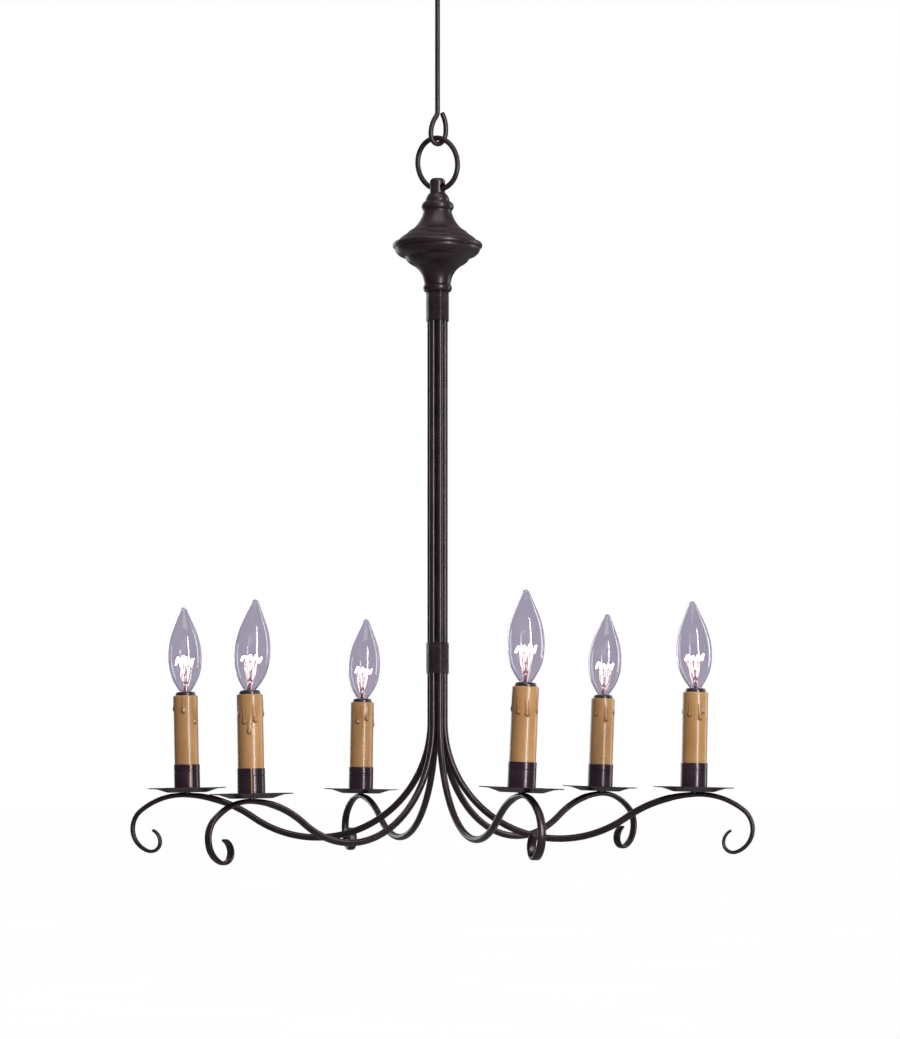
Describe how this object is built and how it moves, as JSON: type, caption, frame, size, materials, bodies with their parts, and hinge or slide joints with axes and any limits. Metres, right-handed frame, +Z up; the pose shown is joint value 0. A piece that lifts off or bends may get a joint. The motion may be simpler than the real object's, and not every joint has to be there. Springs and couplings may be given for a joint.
{
  "type": "multi arm chandelier",
  "caption": "Hanging chandelier: a ring of bent tube arms with scroll ends, each carrying a pan, cup, candle sleeve and screw-in flame lamp, under a turned wiring chamber, ring and hook rod.",
  "frame": {"origin": "middle of the hook rod's threaded top end, on the column's axis", "axes": "+Z up along the rod and column; the front view looks along +Y with +X to the right"},
  "size_m": [0.5735, 0.5539, 0.8168],
  "materials": {
    "forged_iron": "dark bronze, hand-forged satin",
    "candle_wax_cover": "glossy honey wax look",
    "black_moulding": "black moulded",
    "brass": "plain",
    "bulb_metal": "nickel-plated",
    "clear_glass": "clear, faint lavender tint",
    "hot_filament": "lit tungsten",
    "lead_in_wire": "copper-clad",
    "lead_jacket": "black jacket"
  },
  "bodies": {
    "rod": {"hook_rod": "forged_iron"},
    "ring": {"hanging_ring": "forged_iron"},
    "chandelier": {"neck_loop": "forged_iron", "upper_shell": "forged_iron", "lower_shell": "forged_iron", "centre_stem": "brass", "tube_hub": "forged_iron", "wire_bindings": "forged_iron", "candle_studs": "brass", "candle_nuts": "brass", "socket_shells": "brass", "arm_leads": "lead_jacket", "arm_1": "forged_iron", "candle_pan_1": "forged_iron", "candle_cup_1": "forged_iron", "candle_sleeve_1": "candle_wax_cover", "lamp_socket_1": "black_moulding", "arm_2": "forged_iron", "candle_pan_2": "forged_iron", "candle_cup_2": "forged_iron", "candle_sleeve_2": "candle_wax_cover", "lamp_socket_2": "black_moulding", "arm_3": "forged_iron", "candle_pan_3": "forged_iron", "candle_cup_3": "forged_iron", "candle_sleeve_3": "candle_wax_cover", "lamp_socket_3": "black_moulding", "arm_4": "forged_iron", "candle_pan_4": "forged_iron", "candle_cup_4": "forged_iron", "candle_sleeve_4": "candle_wax_cover", "lamp_socket_4": "black_moulding", "arm_5": "forged_iron", "candle_pan_5": "forged_iron", "candle_cup_5": "forged_iron", "candle_sleeve_5": "candle_wax_cover", "lamp_socket_5": "black_moulding", "arm_6": "forged_iron", "candle_pan_6": "forged_iron", "candle_cup_6": "forged_iron", "candle_sleeve_6": "candle_wax_cover", "lamp_socket_6": "black_moulding"},
    "bulb_1_foot": {"bulb_contact_1": "bulb_metal"},
    "bulb_1": {"bulb_base_1": "bulb_metal", "bulb_glass_1": "clear_glass"},
    "bulb_2_foot": {"bulb_contact_2": "bulb_metal"},
    "bulb_2": {"bulb_base_2": "bulb_metal", "bulb_glass_2": "clear_glass"},
    "bulb_3_foot": {"bulb_contact_3": "bulb_metal"},
    "bulb_3": {"bulb_base_3": "bulb_metal", "bulb_glass_3": "clear_glass"},
    "bulb_4_foot": {"bulb_contact_4": "bulb_metal"},
    "bulb_4": {"bulb_base_4": "bulb_metal", "bulb_glass_4": "clear_glass"},
    "bulb_5_foot": {"bulb_contact_5": "bulb_metal"},
    "bulb_5": {"bulb_base_5": "bulb_metal", "bulb_glass_5": "clear_glass"},
    "bulb_6_foot": {"bulb_contact_6": "bulb_metal"},
    "bulb_6": {"bulb_base_6": "bulb_metal", "bulb_glass_6": "clear_glass"}
  },
  "joints": [
    {"name": "ring_swing", "type": "hinge", "parent": "rod", "child": "ring", "pos_m": [0, 0, -0.14927], "axis": [0.866, 0.5, 0], "range_deg": [-15, 28]},
    {"name": "body_swing", "type": "hinge", "parent": "ring", "child": "chandelier", "pos_m": [0, 0, -0.18987], "axis": [0.7986, -0.6018, 0], "range_deg": [-60, 60]},
    {"name": "bulb_1_rise", "type": "slide", "parent": "chandelier", "child": "bulb_1_foot", "axis": [0.0192, 0, 0.9998], "range_m": [0, 0.01275]},
    {"name": "bulb_1_turn", "type": "hinge", "parent": "bulb_1_foot", "child": "bulb_1", "pos_m": [0.2336, -0.04688, -0.65143], "axis": [0.0192, 0, 0.9998], "range_deg": [0, 1800]},
    {"name": "bulb_2_rise", "type": "slide", "parent": "chandelier", "child": "bulb_2_foot", "axis": [0.0349, 0, 0.9994], "range_m": [0, 0.01275]},
    {"name": "bulb_2_turn", "type": "hinge", "parent": "bulb_2_foot", "child": "bulb_2", "pos_m": [0.16157, 0.17571, -0.65139], "axis": [0.0349, 0, 0.9994], "range_deg": [0, 1800]},
    {"name": "bulb_3_rise", "type": "slide", "parent": "chandelier", "child": "bulb_3_foot", "axis": [0.0175, 0, 0.9998], "range_m": [0, 0.01275]},
    {"name": "bulb_3_turn", "type": "hinge", "parent": "bulb_3_foot", "child": "bulb_3", "pos_m": [-0.07443, 0.22393, -0.65379], "axis": [0.0175, 0, 0.9998], "range_deg": [0, 1800]},
    {"name": "bulb_4_rise", "type": "slide", "parent": "chandelier", "child": "bulb_4_foot", "axis": [-0.0192, 0, 0.9998], "range_m": [0, 0.01275]},
    {"name": "bulb_4_turn", "type": "hinge", "parent": "bulb_4_foot", "child": "bulb_4", "pos_m": [-0.23506, 0.03898, -0.65229], "axis": [-0.0192, 0, 0.9998], "range_deg": [0, 1800]},
    {"name": "bulb_5_rise", "type": "slide", "parent": "chandelier", "child": "bulb_5_foot", "axis": [-0.0175, 0, 0.9998], "range_m": [0, 0.01275]},
    {"name": "bulb_5_turn", "type": "hinge", "parent": "bulb_5_foot", "child": "bulb_5", "pos_m": [-0.1626, -0.17327, -0.65687], "axis": [-0.0175, 0, 0.9998], "range_deg": [0, 1800]},
    {"name": "bulb_6_rise", "type": "slide", "parent": "chandelier", "child": "bulb_6_foot", "axis": [0.0401, 0, 0.9992], "range_m": [0, 0.01275]},
    {"name": "bulb_6_turn", "type": "hinge", "parent": "bulb_6_foot", "child": "bulb_6", "pos_m": [0.07486, -0.22556, -0.65172], "axis": [0.0401, 0, 0.9992], "range_deg": [0, 1800]}
  ],
  "couplings": [
    {"joint": "bulb_1_rise", "follows": "bulb_1_turn", "m_per_rad": 0.00040425},
    {"joint": "bulb_2_rise", "follows": "bulb_2_turn", "m_per_rad": 0.00040425},
    {"joint": "bulb_3_rise", "follows": "bulb_3_turn", "m_per_rad": 0.00040425},
    {"joint": "bulb_4_rise", "follows": "bulb_4_turn", "m_per_rad": 0.00040425},
    {"joint": "bulb_5_rise", "follows": "bulb_5_turn", "m_per_rad": 0.00040425},
    {"joint": "bulb_6_rise", "follows": "bulb_6_turn", "m_per_rad": 0.00040425}
  ]
}
